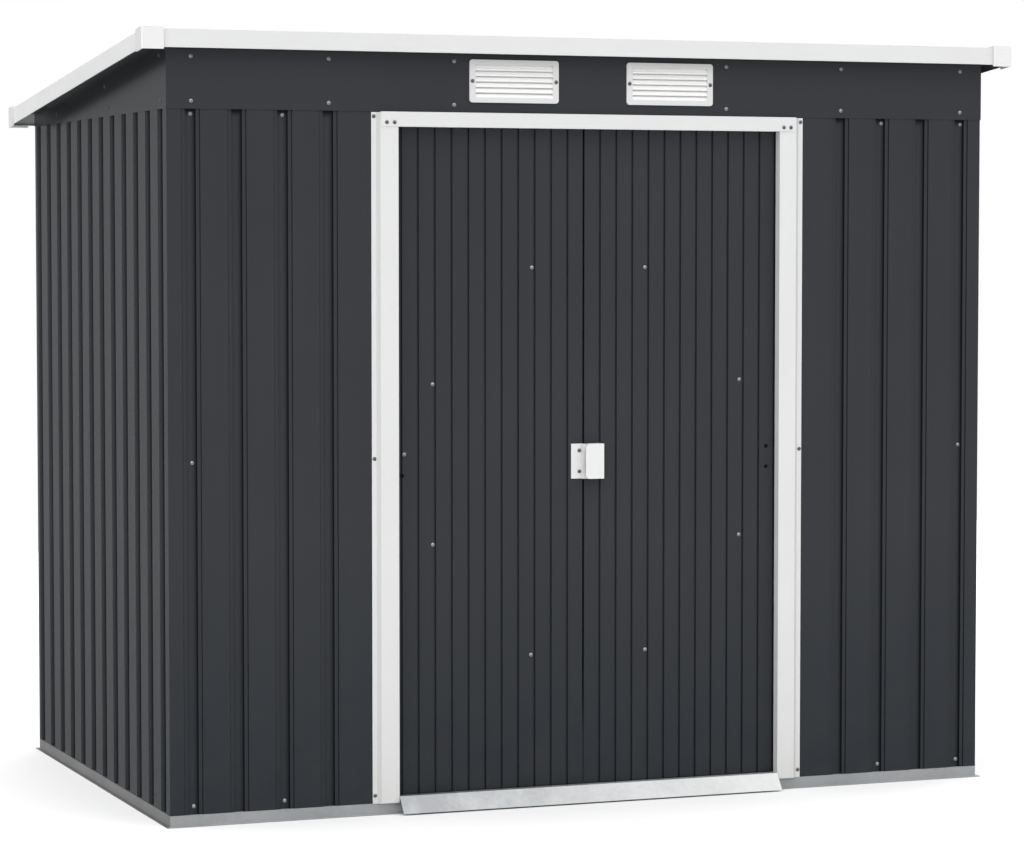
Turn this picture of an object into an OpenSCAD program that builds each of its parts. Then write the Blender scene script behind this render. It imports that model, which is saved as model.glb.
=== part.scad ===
// Metal storage shed: a pent roof, ribbed steel walls and two doors that slide apart.
// Millimetres, +Z up. The origin is on the ground under the middle of the roof, and the front faces -Y.

/* [Shed] */
// Width over the walls
wall_w = 2000; // [1800:10:2600]
// Depth over the walls
wall_d = 1250; // [1000:10:1800]
// Height of the level frame on top of the walls
wall_h = 1605; // [1450:5:1900]
// Fall of the roof from its front edge to its back edge
roof_fall = 130; // [110:1:180]
// Roof overhang at each side
over_side = 65; // [45:1:120]
// Roof overhang at the front
over_front = 38; // [36:1:90]
// Roof overhang at the back
over_back = 14; // [10:1:60]
// Thickness of every folded sheet
sheet_t = 1.5; // [1:0.1:2]

/* [Ribbed sheets] */
// Distance between grooves of the walls and the roof
groove_pitch = 105; // [80:1:140]
// Width of a groove at the sheet's face, over its two shallow shoulders
groove_w = 43; // [38:1:48]
// Depth of a groove's shoulders
groove_step = 2.5; // [1.5:0.1:3.5]
// Width of the deep channel between the shoulders
groove_deep_w = 24.5; // [20:0.5:28]
// Depth of a groove
groove_d = 8; // [6:0.5:10]
// Lean of a groove's walls
groove_lean = 1.2; // [0.8:0.1:2]
// Distance from the corner to the first groove
groove_edge = 54; // [48:1:70]

/* [Base] */
// Height of the base rail that shows below the walls
rail_h = 25; // [20:1:40]
// Outward flange of the base rail
rail_flange = 9; // [6:1:12]
// Height of the rail's upstand behind the walls
rail_upstand = 60; // [50:1:90]
// Height of the ramp's tread
ramp_h = 39; // [34:1:60]
// Run of the ramp in front of the door frame
ramp_run = 29; // [24:1:36]
// Gap between the ramp's foot and the ground
ramp_gap = 3; // [0:0.5:5]
// Height of the guide channel's walls
channel_h = 22; // [16:1:26]
// Width inside the guide channel
channel_w = 31; // [28:1:40]

/* [Doorway] */
// Clear width between the jambs
door_clear_w = 939; // [800:1:1200]
// Width of a jamb seen from the front
jamb_w = 61.5; // [50:0.5:80]
// Outer flange of a jamb
jamb_flange = 11; // [8:1:16]
// Run of the slanted step of a jamb
jamb_step = 8; // [6:1:20]
// How far the jamb's face stands in front of the wall
jamb_proud = 8; // [5:0.5:12]
// Height of the white sheet over the doorway
lintel_h = 33; // [26:1:45]
// Overlap of that sheet on each jamb
lintel_lap = 41; // [25:1:45]

/* [Doors] */
// Door face behind the wall plane
door_inset = 19; // [18:0.5:26]
// Depth of a door with its folded edges
door_depth = 19; // [16:0.5:24]
// How far each door reaches behind its jamb
door_lap = 20; // [10:1:40]
// Gap between the closed doors
door_gap = 5; // [5:0.5:10]
// Place of the meeting line, from the middle
meeting_x = -13; // [-40:1:40]
// Distance between a door's grooves
door_pitch = 40.2; // [30:0.1:60]
// Width of a door groove at the face
door_groove_w = 6; // [5.5:0.5:14]
// Width of a door groove at its bottom
door_groove_base = 4; // [2:0.5:5]
// Depth of a door groove
door_groove_d = 5; // [3:0.5:6]
// Room under a door, over the guide channel
door_lift = 10; // [6:1:14]
// Height of the rails at a door's top and bottom
door_rail_h = 35; // [25:1:50]
// Width of a door's diagonal braces
brace_w = 30; // [20:1:40]
// Inner end of a brace, from the shed's middle
brace_x0 = 140; // [100:1:180]
// Outer end of a brace, from the shed's middle
brace_x1 = 380; // [300:1:400]
// Inner end of a brace, above or below the handles
brace_z0 = 442; // [300:1:500]
// Outer end of a brace, above or below the handles
brace_z1 = 181; // [120:1:260]

/* [Door gear] */
// Height of the track that carries the doors
track_h = 55; // [50:1:65]
// Height of the rollers' ledge above the track's lower edge
ledge_rise = 10; // [6:1:12]
// Rollers' distance from the ledge's free edge
roller_inset = 1; // [0.5:0.5:3]
// Radius of a roller
roller_r = 12; // [9:0.5:14]
// Width of a roller
roller_w = 7.5; // [6:0.5:9]
// Radius of a roller's axle
axle_r = 4; // [2:0.5:5]
// Width of a hanger plate
hanger_w = 40; // [30:1:60]
// Thickness of a hanger plate
hanger_t = 2; // [1.5:0.1:3]
// Hanger's middle from the door's edge
hanger_edge = 70; // [50:1:120]
// Running gap of a roller on its ledge
roller_gap = 0.3; // [0.2:0.05:0.5]
// Room that moving pieces keep on every side
run_gap = 5.5; // [5:0.1:7]
// Length of a guide shoe
shoe_len = 40; // [25:1:60]
// Thickness of a guide shoe
shoe_t = 10; // [6:0.5:14]

/* [Handles] */
// Height of the handles
handle_h = 80; // [60:1:120]
// Middle of the handles above the ground
handle_z = 783.5; // [650:0.5:950]
// Thickness of the handle plates
handle_t = 2.5; // [2:0.1:3]
// Width of the left plate
plate_w = 27; // [24:1:37]
// How far the left plate's tongue stands off the door
tongue_off = 13; // [11:0.5:14]
// Width of the right pull's foot
foot_w = 29; // [24:1:37]
// Width of the right pull
pull_w = 44.5; // [40:0.5:60]
// How far the right pull stands off the door
pull_off = 25; // [22:0.5:28]
// Corner radius of the pull
pull_r = 9; // [4:0.5:15]

/* [Vents] */
// Width of a vent
vent_w = 215; // [160:1:240]
// Height of a vent
vent_h = 96; // [80:1:100]
// Middle of a vent from the shed's middle
vent_x = 191.5; // [150:0.5:300]
// Middle of a vent above the header's lower edge
vent_rise = 71; // [60:1:74]
// Height of a vent's flat border above and below the blades
vent_border = 11; // [9:0.5:16]
// Width of that border beside the blades
vent_side = 14; // [11:0.5:18]
// Thickness of a vent's border
vent_t = 4; // [3:0.5:6]
// Number of louvre blades
vent_blades = 6; // [5:1:8]
// Corner radius of a vent
vent_r = 7; // [3:0.5:10]

/* [Roof edge] */
// Height of the roof trim
trim_h = 39.5; // [36:0.5:60]
// Width of the trim's lip on the roof
trim_lip = 25; // [18:1:40]
// Width of the fascias' lower fold
trim_fold = 12; // [8:1:18]
// Thickness of the corner caps
cap_t = 4; // [2:0.1:5]
// Length of a corner cap along each edge
cap_len = 50; // [40:1:80]
// How far a corner cap reaches below the trim
cap_drop = 4.5; // [1:0.5:6]
// Outer corner radius of a cap
cap_r = 5; // [2:0.5:6]

/* [Inner frame] */
// Leg of a corner post
post_leg = 15; // [12:1:16]
// Inward flange of the top rails
rail_lip = 25; // [20:1:34]
// Depth of the rails under the roof
roof_rail_h = 45; // [35:1:46]
// Overlap of the header and gables on the walls
header_lap = 25; // [20:1:30]
// Height of the wall sheets' top edge below the frame's top
wall_drop = 5; // [3:0.5:8]

/* [Hidden] */
$fn = 48;
eps = 0.01;
// Gap between pieces that are pushed together, and between the roof and what carries it
fit_gap = 0.3;
roof_seat = 0.1;

anthracite = [0.23, 0.24, 0.26];
white = [0.93, 0.93, 0.92];
galvanised = [0.66, 0.67, 0.68];
nylon = [0.15, 0.15, 0.16];

// Plan
roof_w = wall_w + 2 * over_side;
roof_d = wall_d + over_front + over_back;
front_y = over_front - roof_d / 2;
back_y = roof_d / 2 - over_back;
mid_y = (front_y + back_y) / 2;
side_x = wall_w / 2;
// Depth behind a wall's face where a groove's back lies, and where the rails sit against it
seat_d = groove_d + sheet_t;
// Nearest that a groove's middle comes to the far corner, past the corner post
groove_stop = post_leg + 2 * sheet_t + groove_w / 2;

// Roof plane: the top of the corner caps, and what lies below it
slope = roof_fall / roof_d;
slope_a = atan(slope);
lip_drop = cap_t;
deck_drop = cap_t + sheet_t;
under_drop = deck_drop + groove_d + sheet_t + roof_seat;
seat_gap = 1;
roof_sheets = 4;
front_h = wall_h + seat_gap + under_drop + slope * (back_y + roof_d / 2);
function roof_z(y) = front_h - slope * (y + roof_d / 2);
function under_z(y) = roof_z(y) - under_drop;

// Heights on the walls
sheet_top = wall_h - wall_drop;
header_z = sheet_top - header_lap;
track_z = wall_h - track_h;
vent_z = header_z + vent_rise;

// Doorway
clear_x = door_clear_w / 2;
jamb_x = clear_x + jamb_w;
panel_x = clear_x + door_lap / 2;
frame_top = header_z - fit_gap;
frame_low = frame_top - lintel_h;
return_d = door_inset - run_gap;

// Doors
door_low = channel_h + door_lift;
ledge_z = track_z + ledge_rise;
door_top = ledge_z - run_gap;
left_door = [-clear_x - door_lap, meeting_x - door_gap / 2];
right_door = [meeting_x + door_gap / 2, clear_x + door_lap];
stiff_y = door_inset + door_groove_d + sheet_t;
door_back = door_inset + door_depth;
plate_back = door_back + hanger_t;
ledge_y = plate_back + run_gap;
roller_y = ledge_y + roller_inset;
track_y = roller_y + roller_w + run_gap;
axle_z = ledge_z + sheet_t + roller_gap + roller_r;
track_x = side_x - 2 * rail_lip;
channel_y = stiff_y + shoe_t / 2 - channel_w / 2;
pull_foot = right_door[0] + 2 * door_gap;

// Shapes in two dimensions
module rect(x0, y0, x1, y1) {
    translate([x0, y0]) square([x1 - x0, y1 - y0]);
}

module rounded_rect(w, h, r) {
    rect(-w / 2 + r, -h / 2, w / 2 - r, h / 2);
    rect(-w / 2, -h / 2 + r, w / 2, h / 2 - r);
    for (sx = [-1, 1], sy = [-1, 1])
        translate([sx * (w / 2 - r), sy * (h / 2 - r)]) circle(r);
}

// Steps of a groove from the face inward: [half width at the top, half width at the bottom, depth]
wall_steps = [
    [groove_w / 2, groove_w / 2 - groove_lean, groove_step],
    [groove_deep_w / 2, groove_deep_w / 2 - groove_lean, groove_d]
];
door_steps = [[door_groove_w / 2, door_groove_base / 2, door_groove_d]];

function reversed(list) = [for (i = [len(list) - 1 : -1 : 0]) list[i]];

// One side of a groove at c from the face down: s is -1 or 1, and back is 1 on the sheet's inner face
function flank(c, s, steps, back) =
    [for (i = [0 : len(steps) - 1])
        let (
            top = i == 0 ? 0 : steps[i - 1][2],
            fall = steps[i][2] - top,
            run = steps[i][0] - steps[i][1],
            bend = back * sheet_t * tan(atan2(fall, run) / 2)
        )
        each [[c + s * (steps[i][0] + bend), top + back * sheet_t],
              [c + s * (steps[i][1] + bend), steps[i][2] + back * sheet_t]]];

// Outline of a grooved sheet from x0 to x1: its face is at 0, and the grooves go in to +depth
function grooved(x0, x1, centres, steps) = concat(
    [[x0, 0]],
    [for (c = centres) each concat(flank(c, -1, steps, 0), reversed(flank(c, 1, steps, 0)))],
    [[x1, 0], [x1, sheet_t]],
    [for (c = reversed(centres)) each concat(flank(c, 1, steps, 1), reversed(flank(c, -1, steps, 1)))],
    [[x0, sheet_t]]
);

function wall_grooved(x0, x1, centres) = grooved(x0, x1, centres, wall_steps);

// Places of the grooves on a sheet of a given length, counted from its corner
function groove_row(length, first) =
    [for (p = [first : groove_pitch : length - groove_stop]) p];

// Prisms along the axes: plan stands up from a plan view, along_x sweeps a (y, z) outline,
// along_y sweeps an (x, z) outline
module plan(z0, z1) {
    translate([0, 0, z0]) linear_extrude(z1 - z0) children();
}

module along_x(x0, x1) {
    translate([x0, 0, 0]) rotate([90, 0, 90]) linear_extrude(x1 - x0) children();
}

module along_y(y0, y1) {
    translate([0, y1, 0]) rotate([90, 0, 0]) linear_extrude(y1 - y0) children();
}

// Moves what is drawn with y counted inward from the front wall's face
module at_front() {
    translate([0, front_y, 0]) children();
}

// A band that follows the roof's fall between two depths below the roof plane
module roof_band(y0, y1, drop0, drop1) {
    polygon([
        [y0, roof_z(y0) - drop1], [y1, roof_z(y1) - drop1],
        [y1, roof_z(y1) - drop0], [y0, roof_z(y0) - drop0]
    ]);
}

// Base
module base_rail(length) {
    outer = length / 2 + rail_flange;
    inner = length / 2 - rail_upstand;
    intersection() {
        along_x(-outer, outer) {
            rect(-rail_flange, 0, sheet_t, sheet_t);
            rect(0, 0, sheet_t, rail_h);
            rect(0, rail_h - sheet_t, seat_d + sheet_t, rail_h);
            rect(seat_d, rail_h - sheet_t, seat_d + sheet_t, rail_upstand);
        }
        plan(0, rail_upstand)
            polygon([[-outer, -rail_flange], [outer, -rail_flange], [inner, rail_upstand], [-inner, rail_upstand]]);
    }
}

module base_rail_front() {
    notch = clear_x + 3 * sheet_t;
    color(galvanised) at_front() difference() {
        base_rail(wall_w);
        translate([-notch, seat_d / 2, rail_h]) cube([2 * notch, seat_d + sheet_t, rail_upstand]);
    }
}

module base_rail_back() {
    color(galvanised) translate([0, back_y, 0]) rotate(180) base_rail(wall_w);
}

module base_rail_left() {
    color(galvanised) translate([-side_x, mid_y, 0]) rotate(-90) base_rail(wall_d);
}

module base_rail_right() {
    color(galvanised) translate([side_x, mid_y, 0]) rotate(90) base_rail(wall_d);
}

// Sloped sheet from the ground to the tread, which folds down onto the base rail's shelf
module threshold_ramp() {
    foot = -jamb_proud - ramp_run;
    half = clear_x - fit_gap;
    steep = sheet_t * sqrt(1 + pow(ramp_run / ramp_h, 2));
    color(galvanised) at_front() along_x(-half, half) {
        polygon([
            [foot, ramp_gap], [foot + steep, ramp_gap],
            [-jamb_proud + steep / 2, ramp_h - sheet_t], [-jamb_proud, ramp_h]
        ]);
        rect(-jamb_proud, ramp_h - sheet_t, seat_d + sheet_t, ramp_h);
        rect(seat_d, rail_h, seat_d + sheet_t, ramp_h);
    }
}

module door_guide_channel() {
    far = channel_y + channel_w;
    color(galvanised) at_front() along_x(-track_x, track_x) {
        rect(sheet_t, 0, far + sheet_t, sheet_t);
        rect(channel_y - sheet_t, 0, channel_y, channel_h);
        rect(far, 0, far + sheet_t, channel_h);
    }
}

// Walls
module front_panel_left() {
    row = groove_row(side_x - jamb_x, groove_edge);
    color(anthracite) at_front() plan(rail_h, sheet_top)
        translate([-side_x, 0]) polygon(wall_grooved(0, side_x - panel_x, row));
}

module front_panel_right() {
    mirror([1, 0, 0]) front_panel_left();
}

// Flat sheet over the front panels and the doorway, cut out for the vents
module front_header() {
    half = side_x + sheet_t;
    hole_w = vent_w - 2 * vent_border + 2 * sheet_t + 1;
    hole_h = vent_h - 2 * vent_border + 2 * sheet_t + 1;
    color(anthracite) at_front() along_y(-sheet_t, 0) difference() {
        rect(-half, header_z, half, under_z(front_y));
        for (s = [-1, 1]) translate([s * vent_x, vent_z]) square([hole_w, hole_h], center = true);
    }
}

module left_wall() {
    row = groove_row(wall_d, groove_edge);
    outline = wall_grooved(sheet_t, wall_d - sheet_t, row);
    color(anthracite) plan(rail_h, sheet_top)
        polygon([for (p = outline) [p[1] - side_x, front_y + p[0]]]);
}

module right_wall() {
    mirror([1, 0, 0]) left_wall();
}

module back_wall() {
    count = floor((side_x - groove_stop) / groove_pitch);
    row = [for (k = [-count : count]) k * groove_pitch];
    outline = wall_grooved(-side_x, side_x, row);
    color(anthracite) plan(rail_h, sheet_top) polygon([for (p = outline) [p[0], back_y - p[1]]]);
}

// Flat wedge between the wall's top edge and the roof's fall
module left_gable() {
    color(anthracite) along_x(-side_x - sheet_t, -side_x)
        polygon([
            [front_y, header_z], [back_y, header_z],
            [back_y, under_z(back_y)], [front_y, under_z(front_y)]
        ]);
}

module right_gable() {
    mirror([1, 0, 0]) left_gable();
}

module corner_post() {
    plan(rail_h, track_z) {
        rect(sheet_t, sheet_t, sheet_t + post_leg, 2 * sheet_t);
        rect(sheet_t, sheet_t, 2 * sheet_t, sheet_t + post_leg);
    }
}

module corner_posts() {
    color(galvanised)
        for (sx = [0, 1], sy = [0, 1])
            mirror([sx, 0, 0]) translate([0, mid_y, 0]) mirror([0, sy, 0])
                translate([-side_x, -wall_d / 2, 0]) corner_post();
}

// Door surround
module left_jamb() {
    step_x = -jamb_x + jamb_flange;
    face_x = step_x + jamb_step;
    color(white) at_front() {
        plan(rail_h, frame_top - sheet_t) {
            rect(-jamb_x, -sheet_t, step_x + sheet_t, 0);
            polygon([[step_x, -sheet_t], [face_x, -jamb_proud], [face_x + sheet_t, -jamb_proud + sheet_t],
                     [step_x + sheet_t, 0]]);
            rect(face_x, -jamb_proud, -clear_x, -jamb_proud + sheet_t);
            rect(-clear_x - sheet_t, -jamb_proud, -clear_x, seat_d);
        }
        plan(rail_h, track_z - fit_gap) rect(-clear_x - sheet_t, -jamb_proud, -clear_x, return_d);
    }
}

module right_jamb() {
    mirror([1, 0, 0]) left_jamb();
}

module door_frame_header() {
    face = -jamb_proud - sheet_t;
    half = clear_x + lintel_lap;
    inner = clear_x - fit_gap;
    color(white) at_front() {
        along_x(-half, half) {
            rect(face, frame_low, -jamb_proud, frame_top);
            rect(face, frame_top - sheet_t, -sheet_t, frame_top);
        }
        along_x(-inner, inner) rect(face, frame_low, return_d, frame_low + sheet_t);
    }
}

// Top frame
module upper_track() {
    far = track_y + sheet_t;
    color(galvanised) at_front() along_x(-track_x, track_x) {
        rect(seat_d, track_z, seat_d + sheet_t, wall_h);
        rect(seat_d, wall_h - sheet_t, far, wall_h);
        rect(track_y, ledge_z, far, wall_h);
        rect(ledge_y, ledge_z, far, ledge_z + sheet_t);
    }
}

module front_roof_rail() {
    web = front_y + sheet_t;
    lip = front_y + sheet_t + rail_lip;
    lip_end = side_x - sheet_t;
    color(galvanised) {
        along_x(-side_x, side_x)
            polygon([
                [front_y, under_z(front_y) - roof_rail_h], [web, under_z(front_y) - roof_rail_h],
                [web, under_z(web)], [front_y, under_z(front_y)]
            ]);
        along_x(-lip_end, lip_end) roof_band(front_y, lip, under_drop, under_drop + sheet_t);
    }
}

module back_top_rail() {
    half = side_x - seat_d - 2 * sheet_t;
    face = back_y - seat_d;
    web = face - sheet_t;
    color(galvanised) along_x(-half, half) {
        polygon([[web, track_z], [face, track_z], [face, under_z(face)], [web, under_z(web)]]);
        roof_band(web - rail_lip, face, under_drop, under_drop + sheet_t);
    }
}

// Level rail along the wall's top, and the sloped rail behind the gable
module left_side_rails() {
    level0 = front_y + seat_d + sheet_t;
    level1 = back_y - seat_d - 2 * sheet_t - rail_lip;
    slope0 = front_y + sheet_t;
    flange0 = slope0 + rail_lip;
    sill = sheet_top + eps;
    knee = back_y - (roof_rail_h + sill - under_z(back_y)) / slope;
    color(galvanised) translate([-side_x, 0, 0]) {
        along_y(level0, level1) {
            rect(seat_d, track_z, seat_d + sheet_t, wall_h);
            rect(seat_d, wall_h - sheet_t, seat_d + sheet_t + rail_lip, wall_h);
        }
        along_x(0, sheet_t)
            polygon([
                [slope0, under_z(slope0) - roof_rail_h], [knee, sill], [level1, sill],
                [level1, under_z(level1)], [slope0, under_z(slope0)]
            ]);
        along_x(0, sheet_t + rail_lip) roof_band(flange0, level1, under_drop, under_drop + sheet_t);
    }
}

module right_side_rails() {
    mirror([1, 0, 0]) left_side_rails();
}

// Purlin halfway up the roof, hung between the sloped rails
module roof_beam() {
    end = side_x - sheet_t;
    lip_end = end - rail_lip;
    web = mid_y + sheet_t;
    color(galvanised) {
        along_x(-end, end) roof_band(mid_y, web, under_drop + sheet_t, under_drop + roof_rail_h);
        along_x(-lip_end, lip_end) {
            roof_band(mid_y, web, under_drop, under_drop + 2 * sheet_t);
            roof_band(mid_y, web + rail_lip, under_drop, under_drop + sheet_t);
        }
    }
}

// Roof
module roof_panel(index) {
    fit = cap_t + 2 * sheet_t;
    sheet_w = (roof_w - 2 * fit) / roof_sheets;
    x0 = -roof_w / 2 + fit + index * sheet_w;
    count = floor(sheet_w / groove_pitch);
    first = x0 + (sheet_w - (count - 1) * groove_pitch) / 2;
    row = [for (k = [0 : count - 1]) first + k * groove_pitch];
    outline = wall_grooved(x0, x0 + sheet_w, row);
    length = (roof_d - 2 * fit) / cos(slope_a);
    color(anthracite)
        translate([0, fit - roof_d / 2, roof_z(fit - roof_d / 2) - deck_drop]) rotate([-slope_a, 0, 0])
            along_y(0, length) polygon([for (p = outline) [p[0], -p[1] * cos(slope_a)]]);
}

module roof_panel_1() {
    roof_panel(0);
}

module roof_panel_2() {
    roof_panel(1);
}

module roof_panel_3() {
    roof_panel(2);
}

module roof_panel_4() {
    roof_panel(3);
}

// Folded edge across the front or the back: side is -1 at the front and 1 at the back
module cross_trim(side) {
    face = side * (roof_d / 2 - cap_t);
    back = face - side * sheet_t;
    low = roof_z(face) - lip_drop - trim_h;
    lip = face - side * trim_lip;
    over = side < 0 ? over_front : over_back;
    fold = face - side * min(trim_fold, over - cap_t - sheet_t);
    half = roof_w / 2 - cap_t;
    near = min(face, back);
    far = max(face, back);
    color(white) {
        along_x(-half, half) {
            polygon([[near, low], [far, low], [far, roof_z(far) - lip_drop], [near, roof_z(near) - lip_drop]]);
            roof_band(min(face, lip), max(face, lip), lip_drop, lip_drop + sheet_t);
        }
        along_x(sheet_t - half, half - sheet_t) rect(min(face, fold), low, max(face, fold), low + sheet_t);
    }
}

module front_fascia() {
    cross_trim(-1);
}

module back_fascia() {
    cross_trim(1);
}

module left_roof_trim() {
    face = -roof_w / 2 + cap_t;
    run = roof_d / 2 - cap_t - sheet_t;
    lip_run = roof_d / 2 - cap_t - trim_lip;
    low = lip_drop + trim_h;
    color(white) {
        along_x(face, face + sheet_t) {
            roof_band(-run, run, lip_drop + sheet_t, low);
            roof_band(-lip_run, lip_run, lip_drop, low);
        }
        along_x(face, face + trim_lip) roof_band(-lip_run, lip_run, lip_drop, lip_drop + sheet_t);
    }
}

module right_roof_trim() {
    mirror([1, 0, 0]) left_roof_trim();
}

// Cap over a corner of the trim, on the left: side is -1 at the front and 1 at the back
module corner_cap(side) {
    x0 = -roof_w / 2;
    edge = side * roof_d / 2;
    end = edge - side * cap_len;
    low = lip_drop + trim_h + cap_drop;
    inner = edge - side * cap_t;
    past = end - side * cap_t;
    difference() {
        intersection() {
            along_x(x0, x0 + cap_len) roof_band(min(edge, end), max(edge, end), 0, low);
            plan(0, front_h + cap_len) {
                rect(x0 + cap_r, min(edge, end), x0 + cap_len, max(edge, end));
                rect(x0, min(edge - side * cap_r, end), x0 + cap_len, max(edge - side * cap_r, end));
                translate([x0 + cap_r, edge - side * cap_r]) circle(cap_r);
            }
        }
        along_x(x0 + cap_t, x0 + cap_len + cap_t)
            roof_band(min(inner, past), max(inner, past), cap_t, low + cap_t);
    }
}

module roof_corner_caps() {
    color(white)
        for (sx = [0, 1], side = [-1, 1])
            mirror([sx, 0, 0]) corner_cap(side);
}

// Louvred vent: a flat border on the header, a collar through it and slanted blades
module vent(x) {
    field_w = vent_w - 2 * vent_side;
    field_h = vent_h - 2 * vent_border;
    pitch = field_h / vent_blades;
    rise = 1.15 * pitch;
    blade_h = 2 * sheet_t;
    sink = 1;
    face = -sheet_t - vent_t;
    collar = vent_t;
    mullion_w = 2 * sheet_t;
    color(white) at_front() translate([x, 0, vent_z]) {
        along_y(face, -sheet_t) difference() {
            rounded_rect(vent_w, vent_h, vent_r);
            square([field_w, field_h], center = true);
        }
        along_y(-sheet_t - eps, collar) difference() {
            square([field_w + 2 * sheet_t, field_h + 2 * sheet_t], center = true);
            square([field_w, field_h], center = true);
        }
        intersection() {
            along_y(face, collar) square([field_w + sheet_t, field_h + sheet_t], center = true);
            along_x(-field_w, field_w)
                for (k = [0 : vent_blades - 1])
                    translate([0, (k - vent_blades / 2) * pitch - sink]) polygon([
                        [face + sink, 0], [collar - sink, rise], [collar - sink, rise + blade_h], [face + sink, blade_h]
                    ]);
        }
        along_y(sink - sheet_t, collar - sink / 2) square([mullion_w, field_h + sheet_t], center = true);
    }
}

module left_vent() {
    vent(-vent_x);
}

module right_vent() {
    vent(vent_x);
}

// Doors: span holds a door's two edges along x, and side is -1 for the left door and 1 for the right
module door_panel(span, side) {
    reach = span[1] - span[0] - door_gap;
    count = floor(reach / door_pitch - 0.3);
    lines = [for (k = [1 : count]) meeting_x + side * k * door_pitch];
    row = side > 0 ? lines : reversed(lines);
    outline = grooved(span[0], span[1], row, door_steps);
    color(anthracite) at_front() plan(door_low, door_top) {
        polygon([for (p = outline) [p[0], door_inset + p[1]]]);
        rect(span[0], door_inset, span[0] + sheet_t, door_back);
        rect(span[1] - sheet_t, door_inset, span[1], door_back);
    }
}

// Channel across a door, open to the inside, from z0 up
module door_rail(span, z0) {
    along_x(span[0] + sheet_t, span[1] - sheet_t) {
        rect(stiff_y, z0, stiff_y + sheet_t, z0 + door_rail_h);
        rect(stiff_y, z0, door_back, z0 + sheet_t);
        rect(stiff_y, z0 + door_rail_h - sheet_t, door_back, z0 + door_rail_h);
    }
}

// Flat strip on the inside of a door between two points (x, z)
module door_brace(a, b) {
    run = b - a;
    translate([a[0], stiff_y + sheet_t, a[1]]) rotate([90, 0, 0]) rotate(atan2(run[1], run[0]))
        linear_extrude(sheet_t) rect(-brace_w, -brace_w / 2, norm(run) + brace_w, brace_w / 2);
}

module door_frame(span, side) {
    color(galvanised) at_front() {
        door_rail(span, door_low);
        door_rail(span, door_top - door_rail_h);
        for (s = [-1, 1])
            door_brace([side * brace_x0, handle_z + s * brace_z0], [side * brace_x1, handle_z + s * brace_z1]);
    }
}

// Two hangers: a plate on the door's top rail, an axle and a roller on the track's ledge
module door_hangers(span) {
    color(galvanised) at_front()
        for (x = [span[0] + hanger_edge, span[1] - hanger_edge]) {
            along_y(door_back, plate_back)
                rect(x - hanger_w / 2, door_top - door_rail_h, x + hanger_w / 2, axle_z + roller_r);
            along_y(plate_back - eps, roller_y + roller_w) translate([x, axle_z]) circle(axle_r);
            along_y(roller_y, roller_y + roller_w) translate([x, axle_z]) circle(roller_r);
        }
}

// Shoes under the door that run in the guide channel
module door_guides(span) {
    low = sheet_t + run_gap;
    color(nylon) at_front()
        for (x = [span[0] + hanger_edge, span[1] - hanger_edge])
            translate([x - shoe_len / 2, stiff_y, low]) cube([shoe_len, shoe_t, door_low - low]);
}

module left_door_panel() {
    door_panel(left_door, -1);
}

module left_door_frame() {
    door_frame(left_door, -1);
}

module left_door_hangers() {
    door_hangers(left_door);
}

module left_door_guides() {
    door_guides(left_door);
}

module right_door_panel() {
    door_panel(right_door, 1);
}

module right_door_frame() {
    door_frame(right_door, 1);
}

module right_door_hangers() {
    door_hangers(right_door);
}

module right_door_guides() {
    door_guides(right_door);
}

// Plate on the left door, with a tongue that stands off and passes under the right door's pull
module left_handle() {
    edge = left_door[1] - 1;
    low = handle_z - handle_h / 2;
    high = handle_z + handle_h / 2;
    out = door_inset - tongue_off;
    color(white) at_front() {
        along_y(door_inset - handle_t, door_inset) rect(edge - plate_w, low, edge, high);
        along_y(out, door_inset) rect(edge - handle_t, low, edge, high);
        along_y(out, out + handle_t) rect(edge - handle_t, low, pull_foot - run_gap, high);
    }
}

// Folded pull: a foot on the door, a web that stands off and a flap that reaches over the other door
module right_handle() {
    end = pull_foot + foot_w;
    low = handle_z - handle_h / 2;
    high = handle_z + handle_h / 2;
    tip = end - pull_w;
    out = door_inset - pull_off;
    color(white) at_front() {
        along_y(door_inset - handle_t, door_inset) rect(pull_foot, low, end, high);
        along_y(out, door_inset) rect(end - handle_t, low, end, high);
        along_y(out, out + handle_t) {
            rect(tip + pull_r, low, end, high);
            rect(tip, low + pull_r, end, high - pull_r);
            for (z = [low + pull_r, high - pull_r]) translate([tip + pull_r, z]) circle(pull_r);
        }
    }
}

base_rail_front();
base_rail_back();
base_rail_left();
base_rail_right();
threshold_ramp();
door_guide_channel();
front_panel_left();
front_panel_right();
front_header();
left_wall();
right_wall();
back_wall();
left_gable();
right_gable();
corner_posts();
left_jamb();
right_jamb();
door_frame_header();
upper_track();
front_roof_rail();
back_top_rail();
left_side_rails();
right_side_rails();
roof_beam();
roof_panel_1();
roof_panel_2();
roof_panel_3();
roof_panel_4();
front_fascia();
back_fascia();
left_roof_trim();
right_roof_trim();
roof_corner_caps();
left_vent();
right_vent();
left_door_panel();
left_door_frame();
left_door_hangers();
left_door_guides();
left_handle();
right_door_panel();
right_door_frame();
right_door_hangers();
right_door_guides();
right_handle();
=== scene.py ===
"""Dresses the metal storage shed: finishes for every sheet, screws, holes, light and camera."""
import math

import bmesh
import bpy
from mathutils import Matrix, Vector


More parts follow.
